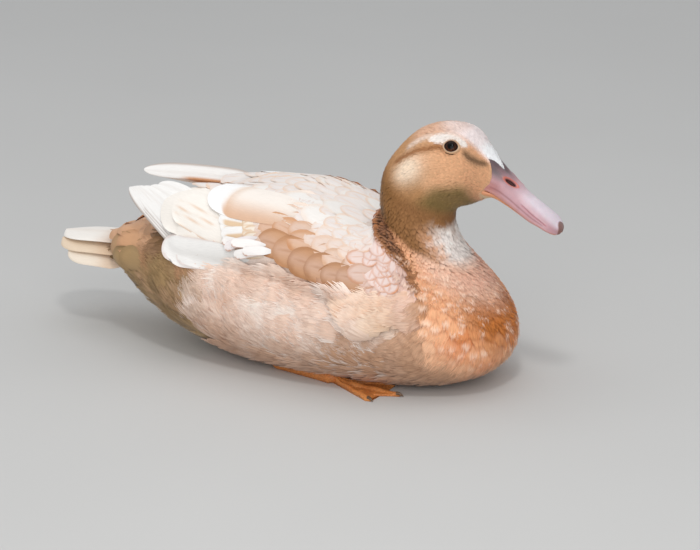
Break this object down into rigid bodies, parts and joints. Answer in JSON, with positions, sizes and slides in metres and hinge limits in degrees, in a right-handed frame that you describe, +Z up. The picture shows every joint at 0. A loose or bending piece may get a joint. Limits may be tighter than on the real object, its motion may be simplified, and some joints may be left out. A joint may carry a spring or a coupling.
{
  "type": "domestic duck, still display model",
  "caption": "Sitting domestic duck hen, buff and cream with white flight feathers, head up and legs folded under, as a still life-size model.",
  "frame": {"origin": "on the floor under the middle of the trunk, in the middle of the belly's flat", "axes": "+X to the bill, +Y to the duck's left, +Z up"},
  "size_m": [0.4508, 0.1682, 0.2085],
  "materials": {
    "trunk_plumage": "soft matte plumage, cream belly and flanks, warm buff breast with pale flecks",
    "neck_plumage": "fine matte plumage, fawn with a white front",
    "head_plumage": "very short velvety plumage, buff with a white brow stripe",
    "wing_coverts": "smooth rounded feathers, pale buff with darker shafts and edges",
    "flight_feathers": "smooth stiff feathers, white with faint tan lines",
    "bill": "satin horn-skin, pink with a grey bloom and a brown nail",
    "eye": "wet gloss, dark brown iris and black pupil",
    "leg_skin": "scaled skin, orange"
  },
  "bodies": {
    "root": {"trunk": "trunk_plumage", "neck": "neck_plumage", "head": "head_plumage", "bill_upper": "bill", "bill_lower": "bill", "tail": "flight_feathers", "eye_left": "eye", "wing_left": "wing_coverts", "wing_tip_left": "flight_feathers", "leg_left": "leg_skin", "foot_left": "leg_skin", "eye_right": "eye", "wing_right": "wing_coverts", "wing_tip_right": "flight_feathers", "leg_right": "leg_skin", "foot_right": "leg_skin"}
  },
  "joints": []
}
